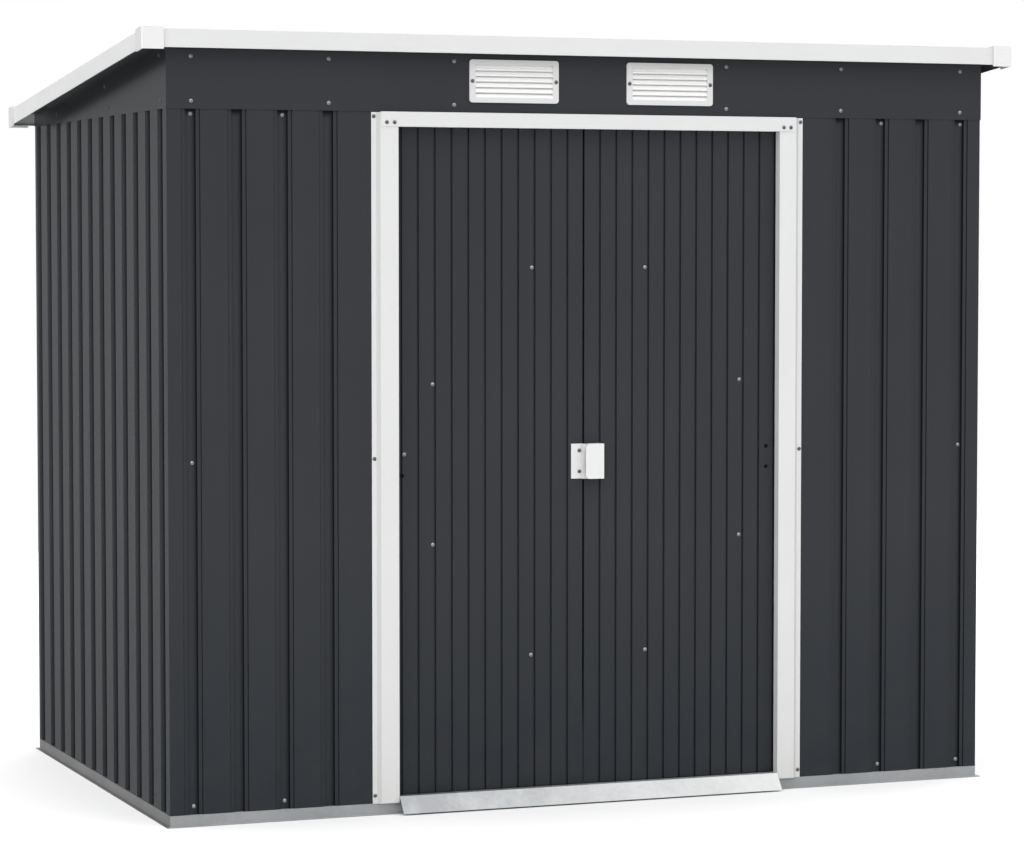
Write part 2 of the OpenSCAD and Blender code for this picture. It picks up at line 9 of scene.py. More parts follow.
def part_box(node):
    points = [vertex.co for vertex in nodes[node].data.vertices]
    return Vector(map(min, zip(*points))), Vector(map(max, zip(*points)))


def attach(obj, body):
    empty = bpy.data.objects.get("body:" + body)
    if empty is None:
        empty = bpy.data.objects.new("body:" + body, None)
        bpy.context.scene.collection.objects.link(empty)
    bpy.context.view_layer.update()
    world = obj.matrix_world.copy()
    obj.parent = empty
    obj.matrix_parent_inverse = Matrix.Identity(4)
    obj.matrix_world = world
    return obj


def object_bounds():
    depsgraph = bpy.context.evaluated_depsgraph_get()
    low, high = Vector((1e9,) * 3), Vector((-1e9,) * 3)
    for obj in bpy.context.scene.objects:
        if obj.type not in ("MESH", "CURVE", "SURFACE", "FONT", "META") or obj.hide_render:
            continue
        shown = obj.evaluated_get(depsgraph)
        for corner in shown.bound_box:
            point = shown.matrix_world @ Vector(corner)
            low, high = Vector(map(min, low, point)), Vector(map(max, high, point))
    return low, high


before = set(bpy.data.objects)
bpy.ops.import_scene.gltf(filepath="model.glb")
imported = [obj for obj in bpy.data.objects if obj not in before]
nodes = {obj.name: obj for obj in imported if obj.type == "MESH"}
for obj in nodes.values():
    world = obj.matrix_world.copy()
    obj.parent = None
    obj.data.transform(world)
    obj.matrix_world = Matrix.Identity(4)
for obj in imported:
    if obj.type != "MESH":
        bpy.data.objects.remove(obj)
cad_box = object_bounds()

# Planes of the shed, read from the frame (metres)
FRONT_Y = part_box("front_panel_left")[0].y
BACK_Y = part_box("back_wall")[1].y
SIDE_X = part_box("right_wall")[1].x
HEADER_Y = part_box("front_header")[0].y
HEADER_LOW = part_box("front_header")[0].z
GABLE_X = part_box("right_gable")[1].x
DOOR_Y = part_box("left_door_panel")[0].y
LINTEL_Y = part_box("door_frame_header")[0].y
VENT_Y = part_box("left_vent")[0].y
RAMP_SPAN = (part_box("threshold_ramp")[0].x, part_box("threshold_ramp")[1].x)
ROOF_TOP = cad_box[1].z
ROOF_HALF_D = cad_box[1].y

# Measures of the sheet work that the boxes don't tell (metres)
GROOVE_D = 0.008
GROOVE_PITCH = 0.105
GROOVE_EDGE = 0.054
ROOF_GROOVE_DROP = 0.0135
ROOF_FALL = 0.130
HANDLE_T = 0.0025

GROOVE_Y = FRONT_Y + GROOVE_D
FIRST_GROOVE = SIDE_X - GROOVE_EDGE
PLATE_Y = DOOR_Y - HANDLE_T
ROOF_SLOPE = ROOF_FALL / (2 * ROOF_HALF_D)

# Directions that the outer faces of the sheets look to
OUT_FRONT = (0, -1, 0)
OUT_BACK = (0, 1, 0)
OUT_LEFT = (-1, 0, 0)
OUT_RIGHT = (1, 0, 0)

# Colours and tones of the finishes. A pair goes from dark to light
COAT = ((0.0234, 0.0253, 0.0290), (0.0276, 0.0297, 0.0337))
# Painted shade: the coat's darker colour near the ground
COAT_LOW_SHADE = (0.0150, 0.0180, 0.0222)
COAT_DUST = (0.085, 0.083, 0.080)
# Painted shade: the coat's colour in its grooves
COAT_PAINTED_SHADE = (0.004, 0.005, 0.006)
COAT_SHEEN = (0.92, 0.96, 1.0, 1.0)
SURROUND_TONE = 0.580
TRIM_TONE = 0.592
HANDLE_TONE = 0.617
TONE_STEP = 0.009
TONE_COOLNESS = 0.003
# Painted shade: the colours of the faces of the white trims turned in towards the shed
SURROUND_BACK_SHADE = (0.050, 0.051, 0.053)
TRIM_BACK_SHADE = (0.140, 0.141, 0.143)
PAINT_LOW_GREY = (0.46, 0.46, 0.45)
PAINT_SPLASH = (0.46, 0.45, 0.43)
# Painted shade on the sloping faces of the folds
FOLD_SHADE = (0.36, 0.36, 0.36)
CAP_WHITE = ((0.626, 0.628, 0.628), (0.646, 0.647, 0.646))
VENT_WHITE = ((0.560, 0.562, 0.560), (0.580, 0.581, 0.578))
# Painted light: the paler colour of the vents' blades
BLADE_PAINTED_LIGHT = (0.74, 0.74, 0.735)
# Painted shade on the faces of the plastic parts that look along x
PLASTIC_SIDE_SHADE = (0.40, 0.40, 0.40)
RAIL_ZINC = ((0.335, 0.345, 0.357), (0.420, 0.433, 0.444))
# Painted shade: the side rails take a darker copy of the rails' zinc
SIDE_RAIL_SHADED_ZINC = ((0.242, 0.243, 0.244), (0.308, 0.309, 0.309))
RAMP_ZINC = ((0.225, 0.232, 0.240), (0.430, 0.437, 0.437))
# Darker grey for level faces
ZINC_LEVEL_GREY = (0.050, 0.049, 0.047)
NYLON = ((0.014, 0.014, 0.015), (0.026, 0.026, 0.027))
BRIGHT_PLATE = ((0.30, 0.30, 0.30), (0.44, 0.44, 0.44))
# Painted shade: a darker copy of the screws' zinc plate
SHADED_PLATE = ((0.13, 0.13, 0.13), (0.20, 0.20, 0.20))
# Painted shade: the dark disc that stands for the inside of a drilled hole
HOLE_SHADE = ((0.004, 0.004, 0.004), (0.008, 0.008, 0.008))
PAPER = ((0.69, 0.69, 0.69), (0.71, 0.71, 0.71))
PURE_WHITE = (1.0, 1.0, 1.0, 1.0)
PURE_BLACK = (0.0, 0.0, 0.0, 1.0)

# Shares of painted shade, of darkening lower down and on level faces, and of shine on the finishes
LOW_SHADE_SHARE = 0.75
PAINTED_SHADE_SHARE = 0.75
SHADED_SHINE = 0.15
COAT_SHINE = 0.27
LOW_SHINE = 0.24
SURROUND_DARKENING = 0.26
FOLD_SHARE = 0.45
CAP_SIDE_SHADE = 0.45
SIDE_RAIL_LEVEL_GREY = 0.75
BLOOM_GAIN = 1.10

# Heights that the coat's painted shade and dust, the white paint's darkening and its splashes reach (metres)
COAT_SHADE_AND_DUST_Z = (0.02, 0.60)
PAINT_DARKENING_Z = (0.0, 1.55)
SPLASH_Z = (0.02, 0.30)

# Where the painted shade of a groove starts and is full: under the header (metres), and across the groove
# (pitches)
HEADER_SHADE = (0.016, 0.003)
CROSS_SHADE = (-0.02, 0.115)

# Leans of faces along x that count as a groove's wall, a fold and an outer side, which all get painted shade,
# and how softly they end
WALL_LEAN = (0.40, 1.0)
FOLD_LEAN = (0.35, 0.90)
SIDE_LEAN = 0.95
INWARD = -0.25
LEAN_EDGE = 0.05


# Materials

class Shader:
    """A material under construction, with short calls for the nodes that the finishes share."""

    def __init__(self, name):
        self.material = bpy.data.materials.new(name)
        self.material.use_nodes = True
        self.tree = self.material.node_tree
        self.bsdf = self.tree.nodes["Principled BSDF"]
        self.coords = self.tree.nodes.new("ShaderNodeTexCoord")

    def link(self, output, socket):
        self.tree.links.new(output, socket)

    def feed(self, name, value):
        """Lets a value drive an input of the surface."""
        self.link(value, self.bsdf.inputs[name])

    def set(self, **values):
        for name, value in values.items():
            self.bsdf.inputs[name.replace("_", " ")].default_value = value

    def mapped(self, scale):
        """The row-frame coordinates, stretched by a scale along each axis."""
        node = self.tree.nodes.new("ShaderNodeMapping")
        node.inputs["Scale"].default_value = scale
        self.link(self.coords.outputs["Object"], node.inputs["Vector"])
        return node.outputs["Vector"]

    def noise(self, scale, detail=3.0, roughness=0.5, stretch=(1, 1, 1)):
        node = self.tree.nodes.new("ShaderNodeTexNoise")
        node.inputs["Scale"].default_value = scale
        node.inputs["Detail"].default_value = detail
        node.inputs["Roughness"].default_value = roughness
        self.link(self.mapped(stretch), node.inputs["Vector"])
        return node.outputs["Fac"]

    def cells(self, scale):
        """A random grey for each cell of a broken-up pattern."""
        node = self.tree.nodes.new("ShaderNodeTexVoronoi")
        node.inputs["Scale"].default_value = scale
        self.link(self.mapped((1, 1, 1)), node.inputs["Vector"])
        split = self.tree.nodes.new("ShaderNodeSeparateColor")
        self.link(node.outputs["Color"], split.inputs["Color"])
        return split.outputs["Red"]

    def ramp(self, value, pair, low=0.3, high=0.7):
        """A colour that goes through a pair while a value goes from low to high."""
        node = self.tree.nodes.new("ShaderNodeValToRGB")
        for element, position, colour in zip(node.color_ramp.elements, (low, high), pair):
            element.position = position
            element.color = (*colour, 1.0)
        self.link(value, node.inputs["Fac"])
        return node.outputs["Color"]

    def math(self, operation, first, second):
        node = self.tree.nodes.new("ShaderNodeMath")
        node.operation = operation
        node.use_clamp = True
        for socket, value in zip(node.inputs, (first, second)):
            if isinstance(value, (int, float)):
                socket.default_value = value
            else:
                self.link(value, socket)
        return node.outputs["Value"]

    def raw_math(self, operation, first, second=0.0):
        """A sum that may leave the range from nought to one."""
        value = self.math(operation, first, second)
        value.node.use_clamp = False
        return value

    def span(self, value, low, high, to_low, to_high):
        node = self.tree.nodes.new("ShaderNodeMapRange")
        for socket, number in zip(list(node.inputs)[1:5], (low, high, to_low, to_high)):
            socket.default_value = number
        self.link(value, node.inputs["Value"])
        return node.outputs["Result"]

    def mix(self, factor, first, second):
        node = self.tree.nodes.new("ShaderNodeMix")
        node.data_type = "RGBA"
        self.link(factor, node.inputs["Factor"])
        for socket, value in zip((node.inputs[6], node.inputs[7]), (first, second)):
            if isinstance(value, tuple):
                socket.default_value = (*value, 1.0)
            else:
                self.link(value, socket)
        return node.outputs[2]

    def axis(self, name):
        """One of the row-frame coordinates."""
        split = self.tree.nodes.new("ShaderNodeSeparateXYZ")
        self.link(self.coords.outputs["Object"], split.inputs["Vector"])
        return split.outputs[name]

    def facing(self, axis):
        """How far a flat face looks along an axis."""
        geometry = self.tree.nodes.new("ShaderNodeNewGeometry")
        split = self.tree.nodes.new("ShaderNodeSeparateXYZ")
        self.link(geometry.outputs["True Normal"], split.inputs["Vector"])
        return split.outputs[axis]

    def turned_in(self, axis):
        """One where a face looks along an axis towards the middle of the shed, else nought."""
        inward = self.raw_math("MULTIPLY", self.facing(axis), self.axis(axis))
        return self.span(inward, INWARD - LEAN_EDGE, INWARD, 1.0, 0.0)

    def sloping(self, low, high):
        """One on faces that lean between two shares along x, else nought."""
        lean = self.raw_math("ABSOLUTE", self.facing("X"))
        above = self.span(lean, low - LEAN_EDGE, low, 0.0, 1.0)
        return self.math("MULTIPLY", above, self.span(lean, high, high + LEAN_EDGE, 1.0, 0.0))

    def bump(self, *layers):
        """Stacks (value, strength, depth in metres) layers into the surface's normal."""
        normal = None
        for value, strength, depth in layers:
            node = self.tree.nodes.new("ShaderNodeBump")
            node.inputs["Strength"].default_value = strength
            node.inputs["Distance"].default_value = depth
            self.link(value, node.inputs["Height"])
            if normal is not None:
                self.link(normal, node.inputs["Normal"])
            normal = node.outputs["Normal"]
        self.feed("Normal", normal)


def groove_shade(s, first_groove):
    """Painted shade in the grooves of a front panel: towards their right, under the header and on their
    walls.
    """
    turns = s.raw_math("DIVIDE", s.raw_math("SUBTRACT", s.axis("X"), first_groove), GROOVE_PITCH)
    across = s.raw_math("SUBTRACT", turns, s.raw_math("ROUND", turns))
    depth = s.span(s.axis("Y"), FRONT_Y + 0.5 * GROOVE_D, FRONT_Y + 0.9 * GROOVE_D, 0.0, 1.0)
    rise = s.span(across, *CROSS_SHADE, 0.0, 1.0)
    floor = s.math("MULTIPLY", depth, s.math("MULTIPLY", rise, rise))
    under = s.span(s.axis("Z"), HEADER_LOW - HEADER_SHADE[0], HEADER_LOW - HEADER_SHADE[1], 0.0, 1.0)
    top = s.math("MULTIPLY", depth, under)
    return s.math("MAXIMUM", s.math("MAXIMUM", floor, top), s.sloping(*WALL_LEAN))


def side_groove_shade(s):
    """Painted shade on the floors of the grooves of a side wall."""
    reach = s.raw_math("ABSOLUTE", s.axis("X"))
    return s.span(reach, SIDE_X - 0.95 * GROOVE_D, SIDE_X - 0.75 * GROOVE_D, 1.0, 0.0)


def coated_sheet(name, shade=None):
    """Satin anthracite coil coating, slightly wavy, with dust low down and painted shade near the ground and
    where a shade is given.
    """
    s = Shader(name)
    grain = s.noise(900.0, 2.0)
    cloud = s.noise(2.2, 4.0, 0.6)
    streak = s.noise(26.0, 3.0, 0.6, (1.0, 1.0, 0.04))
    tone = s.math("ADD", s.math("MULTIPLY", cloud, 0.6), s.math("MULTIPLY", streak, 0.4))
    paint = s.ramp(tone, COAT, 0.25, 0.75)
    # Painted shade: the coat darkens and shines less towards the ground; the pale patches there are dust
    low = s.span(s.axis("Z"), *COAT_SHADE_AND_DUST_Z, 1.0, 0.0)
    paint = s.mix(s.math("MULTIPLY", low, LOW_SHADE_SHARE), paint, COAT_LOW_SHADE)
    patches = s.span(s.noise(14.0, 5.0, 0.65), 0.35, 0.75, 0.0, 0.10)
    dust = s.math("MULTIPLY", s.math("MULTIPLY", low, low), patches)
    paint = s.mix(dust, paint, COAT_DUST)
    shine = s.span(low, 0.0, 1.0, COAT_SHINE, LOW_SHINE)
    # Painted shade: where a shade is given, the coat darkens and shines less
    if shade:
        shade_mask = shade(s)
        paint = s.mix(s.math("MULTIPLY", shade_mask, PAINTED_SHADE_SHARE), paint, COAT_PAINTED_SHADE)
        shine = s.math("MULTIPLY", shine, s.span(shade_mask, 0.0, 1.0, 1.0, SHADED_SHINE))
    s.feed("Base Color", paint)
    gloss = s.math("ADD", s.math("MULTIPLY", cloud, 0.08), s.math("MULTIPLY", grain, 0.02))
    s.feed("Roughness", s.math("ADD", gloss, 0.16))
    s.feed("Specular IOR Level", shine)
    s.set(Specular_Tint=COAT_SHEEN)
    s.bump((s.noise(3.1, 2.0, 0.5, (1.0, 1.0, 0.35)), 0.06, 0.004))
    return s.material


def white_paint(name, tone, darkening=0.0, back=None, back_shade=None):
    """White stove enamel, darker and splashed lower down, with painted shade on its folds and on faces turned
    in along an axis.
    """
    s = Shader(name)
    peel = s.noise(700.0, 2.0)
    cloud = s.noise(5.0, 4.0, 0.6)
    scuff = s.noise(60.0, 6.0, 0.7, (1.0, 1.0, 0.12))
    reds = (tone - TONE_STEP, tone + TONE_STEP)
    colour = s.ramp(cloud, [(red, red + TONE_COOLNESS, red + TONE_COOLNESS) for red in reds])
    # Darker towards the bottom, by a share given for each paint
    colour = s.mix(s.span(s.axis("Z"), *PAINT_DARKENING_Z, darkening, 0.0), colour, PAINT_LOW_GREY)
    low = s.span(s.axis("Z"), *SPLASH_Z, 1.0, 0.0)
    splash = s.math("MULTIPLY", s.math("MULTIPLY", low, low), s.span(scuff, 0.40, 0.75, 0.06, 0.40))
    colour = s.mix(splash, colour, PAINT_SPLASH)
    # Painted shade on the sloping faces of the folds
    colour = s.mix(s.math("MULTIPLY", s.sloping(*FOLD_LEAN), FOLD_SHARE), colour, FOLD_SHADE)
    # Painted shade on the faces turned in towards the shed
    if back:
        colour = s.mix(s.turned_in(back), colour, back_shade)
    s.feed("Base Color", colour)
    s.feed("Roughness", s.span(cloud, 0.2, 0.8, 0.30, 0.40))
    s.bump((s.noise(4.0, 2.0), 0.05, 0.003), (peel, 0.04, 0.0004))
    return s.material


def white_plastic(name, whites, blades=None, side_shade=0.0):
    """Moulded white plastic, with blades behind a face at a given y made paler as painted light, and painted
    shade on faces along x.
    """
    s = Shader(name)
    grain = s.noise(1500.0, 2.0)
    cloud = s.noise(9.0, 3.0)
    colour = s.ramp(cloud, whites)
    # Painted light: the blades behind the face are paler
    if blades is not None:
        inside = s.span(s.axis("Y"), blades + 0.0004, blades + 0.0010, 0.0, 1.0)
        colour = s.mix(inside, colour, BLADE_PAINTED_LIGHT)
    # Painted shade on faces that look along x
    sideways = s.raw_math("ABSOLUTE", s.facing("X"))
    colour = s.mix(s.span(sideways, SIDE_LEAN - LEAN_EDGE, SIDE_LEAN, 0.0, side_shade), colour, PLASTIC_SIDE_SHADE)
    s.feed("Base Color", colour)
    s.feed("Roughness", s.span(grain, 0.3, 0.7, 0.40, 0.52))
    s.bump((grain, 0.10, 0.0003))
    return s.material


def galvanised(name, zincs, roughness, bloom_share, light_fade=None, level_grey=0.0):
    """Zinc-coated sheet: faint crystals under bloom, with painted light that brightens it along x by a fade,
    and darker on level faces.
    """
    s = Shader(name)
    crystal = s.cells(120.0)
    cloud = s.noise(7.0, 4.0, 0.55)
    bloom = s.noise(15.0, 5.0, 0.6)
    tone = s.math("ADD", s.math("MULTIPLY", crystal, 0.16), s.math("MULTIPLY", cloud, 0.84))
    # Painted light: brighter along x between the ends of the fade
    if light_fade:
        tone = s.math("ADD", s.math("MULTIPLY", tone, 0.45), s.span(s.axis("X"), *light_fade, 0.0, 0.55))
    zinc = s.ramp(tone, zincs, 0.25, 0.75)
    pale = tuple(channel * BLOOM_GAIN for channel in zincs[1])
    zinc = s.mix(s.span(bloom, 0.45, 0.70, 0.0, bloom_share), zinc, pale)
    # Darker on faces that look up
    zinc = s.mix(s.span(s.facing("Z"), 0.5, 0.7, 0.0, level_grey), zinc, ZINC_LEVEL_GREY)
    s.feed("Base Color", zinc)
    s.feed("Roughness", s.span(tone, 0.2, 0.8, roughness - 0.04, roughness + 0.06))
    s.set(Metallic=0.65)
    s.bump((cloud, 0.04, 0.002), (crystal, 0.02, 0.0003))
    return s.material


def black_nylon():
    s = Shader("black_nylon")
    grain = s.noise(900.0, 2.0)
    s.feed("Base Color", s.ramp(grain, NYLON))
    s.feed("Roughness", s.span(grain, 0.3, 0.7, 0.45, 0.6))
    s.bump((grain, 0.12, 0.0003))
    return s.material


def screw_plate(name, zincs):
    """Zinc plate with tarnish."""
    s = Shader(name)
    tarnish = s.noise(420.0, 3.0, 0.6)
    s.feed("Base Color", s.ramp(tarnish, zincs))
    s.feed("Roughness", s.span(tarnish, 0.3, 0.7, 0.28, 0.42))
    s.set(Metallic=0.9)
    s.bump((tarnish, 0.1, 0.0002))
    return s.material


def dark_hole():
    s = Shader("dark_hole")
    shade = s.noise(500.0, 2.0)
    # Painted shade for the inside of a hole
    s.feed("Base Color", s.ramp(shade, HOLE_SHADE))
    s.feed("Roughness", s.span(shade, 0.3, 0.7, 0.75, 0.9))
    s.set(Specular_IOR_Level=0.0)
    return s.material


def dress(material, *names):
    """Gives CAD nodes their finish."""
    for name in names:
        slots = nodes[name].data.materials
        slots.clear()
        slots.append(material)


WALL_SHEETS = ("front_header", "back_wall", "left_gable", "right_gable", "left_door_panel",
               "right_door_panel")
ROOF_SHEETS = ("roof_panel_1", "roof_panel_2", "roof_panel_3", "roof_panel_4")
SURROUND = ("left_jamb", "right_jamb", "door_frame_header", "front_fascia")
SIDE_TRIMS = ("left_roof_trim", "right_roof_trim")
HANDLES = ("left_handle", "right_handle")
VENTS = ("left_vent", "right_vent")
SIDE_RAILS = ("base_rail_left", "base_rail_right")
RAILS = ("base_rail_front", "base_rail_back", "door_guide_channel", "corner_posts", "upper_track",
         "front_roof_rail", "back_top_rail", "left_side_rails", "right_side_rails", "roof_beam",
         "left_door_frame", "right_door_frame", "left_door_hangers", "right_door_hangers")

dress(coated_sheet("anthracite_coat"), *WALL_SHEETS, *ROOF_SHEETS)
dress(coated_sheet("side_coat", side_groove_shade), "left_wall", "right_wall")
dress(coated_sheet("left_front_coat", lambda s: groove_shade(s, -FIRST_GROOVE)), "front_panel_left")
dress(coated_sheet("right_front_coat", lambda s: groove_shade(s, FIRST_GROOVE)), "front_panel_right")
dress(white_paint("surround_paint", SURROUND_TONE, SURROUND_DARKENING, "Y", SURROUND_BACK_SHADE), *SURROUND)
dress(white_paint("trim_paint", TRIM_TONE, 0.0, "X", TRIM_BACK_SHADE), *SIDE_TRIMS)
dress(white_paint("back_fascia_paint", SURROUND_TONE), "back_fascia")
dress(white_paint("handle_paint", HANDLE_TONE), *HANDLES)
dress(white_plastic("cap_plastic", CAP_WHITE, side_shade=CAP_SIDE_SHADE), "roof_corner_caps")
dress(white_plastic("vent_plastic", VENT_WHITE, VENT_Y), *VENTS)
dress(galvanised("zinc_rail", RAIL_ZINC, 0.42, 0.10), *RAILS)
# The side rails' darker zinc is painted shade
dress(galvanised("zinc_side_rail", SIDE_RAIL_SHADED_ZINC, 0.46, 0.10, level_grey=SIDE_RAIL_LEVEL_GREY), *SIDE_RAILS)
# The ramp brightens along x: painted light
dress(galvanised("zinc_ramp", RAMP_ZINC, 0.40, 0.30, RAMP_SPAN), "threshold_ramp")
dress(black_nylon(), "left_door_guides", "right_door_guides")


# Small pieces

# A screw's washer, head and cross recess, and the burr round a drilled hole (metres, and shares of a radius)
HEAD_SIDES = 24
WASHER_R = 0.0044
WASHER_T = 0.0009
WASHER_RIM = 0.7
WASHER_BEVEL = 0.93
HEAD_R = 0.0034
HEAD_T = 0.0024
HEAD_ANGLES = (0.35, 0.75, 1.05)
RECESS_REACH = 0.0020
RECESS_HALF = 0.0006
RECESS_D = 0.0011
RECESS_TAPER = 0.8
HOLE_R = 0.0045
HOLE_PROFILE = ((1.0, 0.0), (0.98, 0.0003), (0.94, 0.0003), (0.90, 0.0001))


def frame_matrix(place, outward):
    """A matrix that stands a piece drawn along +Z on a surface at a place, looking outward."""
    axis = Vector(outward).normalized()
    return Matrix.Translation(place) @ axis.to_track_quat("Z", "Y").to_matrix().to_4x4()


def ring(bm, matrix, radius, height):
    angles = [2 * math.pi * i / HEAD_SIDES for i in range(HEAD_SIDES)]
    points = [Vector((radius * math.cos(a), radius * math.sin(a), height)) for a in angles]
    return [bm.verts.new(matrix @ point) for point in points]


def bridge(bm, lower, upper):
    count = len(lower)
    for i in range(count):
        j = (i + 1) % count
        bm.faces.new((lower[i], lower[j], upper[j], upper[i]))


def stack_rings(bm, matrix, profile):
    """A turned body through rings of (radius, height), closed at its foot."""
    rings = [ring(bm, matrix, radius, height) for radius, height in profile]
    for lower, upper in zip(rings, rings[1:]):
        bridge(bm, lower, upper)
    bm.faces.new(list(reversed(rings[0])))
    return rings[-1]


def cross_points():
    """The twelve corners of a cross recess, counted round from the arm along +X."""
    tip, half = RECESS_REACH, RECESS_HALF
    corners = []
    for quarter in range(4):
        turn = Matrix.Rotation(quarter * math.pi / 2, 2)
        corners += [turn @ Vector(p) for p in ((tip, -half), (tip, half), (half, half))]
    return corners


def add_screw(bm, place, outward):
    """A pan-head screw with a washer and a cross recess."""
    matrix = frame_matrix(place, outward)
    rise = HEAD_T - WASHER_T
    profile = [(WASHER_R, 0.0), (WASHER_R, WASHER_RIM * WASHER_T)]
    profile += [(WASHER_BEVEL * WASHER_R, WASHER_T), (HEAD_R, WASHER_T)]
    profile += [(HEAD_R * math.cos(t), WASHER_T + rise * math.sin(t)) for t in HEAD_ANGLES]
    crown = stack_rings(bm, matrix, profile)
    corners = cross_points()
    mouth = [bm.verts.new(matrix @ Vector((p.x, p.y, HEAD_T))) for p in corners]
    deep = [Vector((RECESS_TAPER * p.x, RECESS_TAPER * p.y, HEAD_T - RECESS_D)) for p in corners]
    floor = [bm.verts.new(matrix @ point) for point in deep]
    for i, corner in enumerate(mouth):
        after = mouth[(i + 1) % len(mouth)]
        a, b, c = (crown[(2 * i - 1 + k) % HEAD_SIDES] for k in range(3))
        bm.faces.new((a, b, corner))
        bm.faces.new((b, c, after, corner))
    bridge(bm, list(reversed(floor)), list(reversed(mouth)))
    bm.faces.new(floor)


def add_hole(bm, place, outward):
    """A drilled hole: a raised burr round a dark disc of painted shade that stands for the inside of the
    hole.
    """
    profile = [(share * HOLE_R, height) for share, height in HOLE_PROFILE]
    bm.faces.new(stack_rings(bm, frame_matrix(place, outward), profile))


def show(bm, name, material):
    """Turns a drawn mesh into an object of the scene."""
    mesh = bpy.data.meshes.new(name)
    bm.to_mesh(mesh)
    bm.free()
    mesh.materials.append(material)
    piece = bpy.data.objects.new(name, mesh)
    bpy.context.scene.collection.objects.link(piece)
    return piece


def make_piece(name, body, material, build, places):
    """Joins many small pieces on one body into one mesh."""
    bm = bmesh.new()
    for place, outward in places:
        build(bm, Vector(place), outward)
    bmesh.ops.recalc_face_normals(bm, faces=bm.faces)
    piece = show(bm, name, material)
    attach(piece, body)


# Rows of the screws, their places along x, and their distances from an edge or behind the front (metres)
TOP_ROW_Z = 1.564
HEADER_ROWS_Z = (1.689, 1.592)
LINTEL_ROW_Z = 1.551
MID_ROW_Z = 0.801
LOW_ROW_Z = 0.043
HANDLE_ROWS_Z = (0.808, 0.760)
HEADER_SCREWS_X = (0.945, 0.630, 0.335)
PANEL_SCREWS_X = (-0.944, -0.735, 0.741, 0.951)
LINTEL_SCREWS_X = (0.497, 0.479)
JAMB_INSET = 0.0055
VENT_INSET = 0.0065
GABLE_TOP_STEPS = (0.054, 0.533, 1.010)
GABLE_TOP_DROP = 0.048
GABLE_LOW_STEPS = (0.044, 0.505)
ROOF_ROW_STEP = 0.014
ROOF_BACK_INSET = 0.024
DOOR_SPOTS = ((0.140, 1.227), (0.142, 0.342), (0.380, 0.965), (0.380, 0.602))
DOOR_EDGE_SCREW_X = -0.448
LEFT_HOLE_X = -0.4525
RIGHT_HOLE_X = 0.4495
PLATE_INSET = 0.0085
FOOT_INSET = 0.014

# Grooves that take screws: of a side wall from the front, of the back wall and a roof panel from the middle
SIDE_LAST_GROOVE = 11
BACK_GROOVES = (-9, -7, -5, -3, -1, 1, 3, 5, 7, 9)
ROOF_GROOVES = (-2, 0, 2)


def both(*values):
    return [sign * value for value in values for sign in (-1, 1)]


def ends(values):
    return (values[0], values[-1])


def groove_places(length, start, step):
    """Every so many grooves from a start, as far as a wall is long."""
    count = int(length / (GROOVE_PITCH * step) + 1)
    places = [start + k * step * GROOVE_PITCH for k in range(count)]
    return [place for place in places if place < length]


def front_screws():
    places = [(x, HEADER_Y, z) for z in HEADER_ROWS_Z for x in both(*HEADER_SCREWS_X)]
    places += [(x, GROOVE_Y, z) for z in (TOP_ROW_Z, LOW_ROW_Z) for x in PANEL_SCREWS_X]
    places += [(x, GROOVE_Y, MID_ROW_Z) for x in ends(PANEL_SCREWS_X)]
    return [(place, OUT_FRONT) for place in places]


def surround_screws():
    jamb_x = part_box("right_jamb")[1].x - JAMB_INSET
    places = [(x, HEADER_Y, z) for z in (TOP_ROW_Z, MID_ROW_Z, LOW_ROW_Z) for x in both(jamb_x)]
    places += [(x, LINTEL_Y, LINTEL_ROW_Z) for x in both(*LINTEL_SCREWS_X)]
    for vent in VENTS:
        low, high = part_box(vent)
        middle = (low.z + high.z) / 2
        places += [(x, VENT_Y, middle) for x in (low.x + VENT_INSET, high.x - VENT_INSET)]
    return [(place, OUT_FRONT) for place in places]


def roof_height(y):
    return ROOF_TOP - ROOF_SLOPE * (y + ROOF_HALF_D)


def side_screws(sign):
    outward = OUT_RIGHT if sign > 0 else OUT_LEFT
    gable_x = sign * GABLE_X
    groove_x = sign * (SIDE_X - GROOVE_D)
    rail_ys = [FRONT_Y + step for step in GABLE_TOP_STEPS]
    places = [(gable_x, y, roof_height(y) - GABLE_TOP_DROP) for y in rail_ys]
    places += [(gable_x, FRONT_Y + step, HEADER_ROWS_Z[1]) for step in GABLE_LOW_STEPS]
    row = groove_places(BACK_Y - FRONT_Y, GROOVE_EDGE + GROOVE_PITCH, 2)
    places += [(groove_x, FRONT_Y + step, z) for z in (TOP_ROW_Z, LOW_ROW_Z) for step in row]
    corners = (GROOVE_EDGE, GROOVE_EDGE + SIDE_LAST_GROOVE * GROOVE_PITCH)
    places += [(groove_x, FRONT_Y + step, MID_ROW_Z) for step in corners]
    return [(place, outward) for place in places]


def back_screws():
    groove_y = BACK_Y - GROOVE_D
    places = [(k * GROOVE_PITCH, groove_y, z) for z in (TOP_ROW_Z, LOW_ROW_Z) for k in BACK_GROOVES]
    places += [(k * GROOVE_PITCH, groove_y, MID_ROW_Z) for k in ends(BACK_GROOVES)]
    return [(place, OUT_BACK) for place in places]


def roof_screws():
    """Rows over the front rail, the beam and the back rail, in every second groove."""
    tilt = Vector((0, ROOF_SLOPE, 1)).normalized()
    beam_y = (FRONT_Y + BACK_Y) / 2
    rows = (FRONT_Y + ROOF_ROW_STEP, beam_y + ROOF_ROW_STEP, BACK_Y - ROOF_BACK_INSET)
    places = []
    for name in ROOF_SHEETS:
        low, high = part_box(name)
        middle = (low.x + high.x) / 2
        for y in rows:
            groove_z = roof_height(y) - ROOF_GROOVE_DROP
            places += [((middle + k * GROOVE_PITCH, y, groove_z), tilt) for k in ROOF_GROOVES]
    return places


def door_screws(sign):
    return [((sign * x, DOOR_Y, z), OUT_FRONT) for x, z in DOOR_SPOTS]


